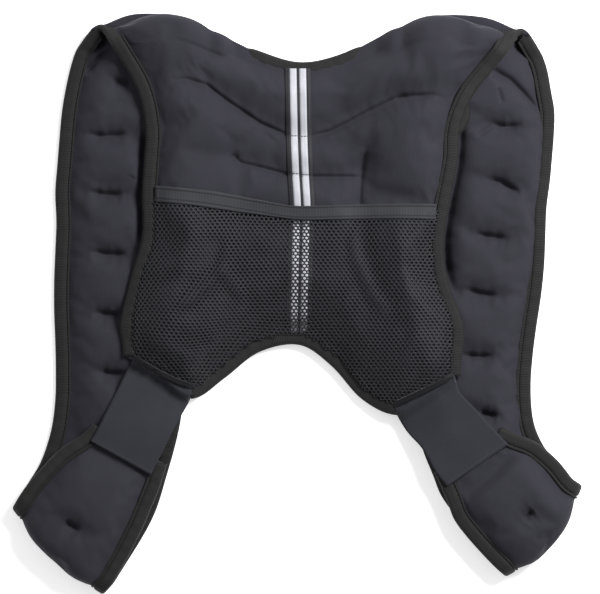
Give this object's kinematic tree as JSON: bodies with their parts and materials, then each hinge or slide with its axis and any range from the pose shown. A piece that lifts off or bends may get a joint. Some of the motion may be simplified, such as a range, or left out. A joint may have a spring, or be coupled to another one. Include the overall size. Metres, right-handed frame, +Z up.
{
  "type": "weighted vest",
  "caption": "Soft padded training vest lying chest down, back panel up, with bound armholes, reflective tape, a mesh back pocket and elastic side straps.",
  "frame": {"origin": "middle of the bounding box on the surface the vest lies on", "axes": "+Z up from the surface, +Y from the bottom arch to the neckline, +X to the viewer's right seen from above with the neckline at the top"},
  "size_m": [0.5006, 0.5094, 0.0402],
  "materials": {
    "shell": "matt knit faced neoprene",
    "front_shell": "matt knit faced neoprene, inner face",
    "binding": "ribbed polyester tape",
    "pocket_mesh": "open polyester mesh",
    "pocket_band": "woven elastic tape",
    "stripe_ground": "woven tape",
    "reflective_stripe": "silver white reflective film on cloth",
    "webbing": "woven elastic webbing"
  },
  "bodies": {
    "root": {"back_panel": "shell", "front_panel_left": "front_shell", "front_panel_right": "front_shell", "armhole_binding_back_left": "binding", "armhole_binding_back_right": "binding", "armhole_binding_front_left": "binding", "armhole_binding_front_right": "binding", "front_edge_binding_left": "binding", "front_edge_binding_right": "binding", "neckline_binding": "binding", "arch_binding": "binding", "stripe_tape": "stripe_ground", "stripe_left": "reflective_stripe", "stripe_right": "reflective_stripe", "pocket_band": "pocket_band", "pocket_mesh": "pocket_mesh", "side_strap_left": "webbing", "side_strap_right": "webbing"}
  },
  "joints": []
}
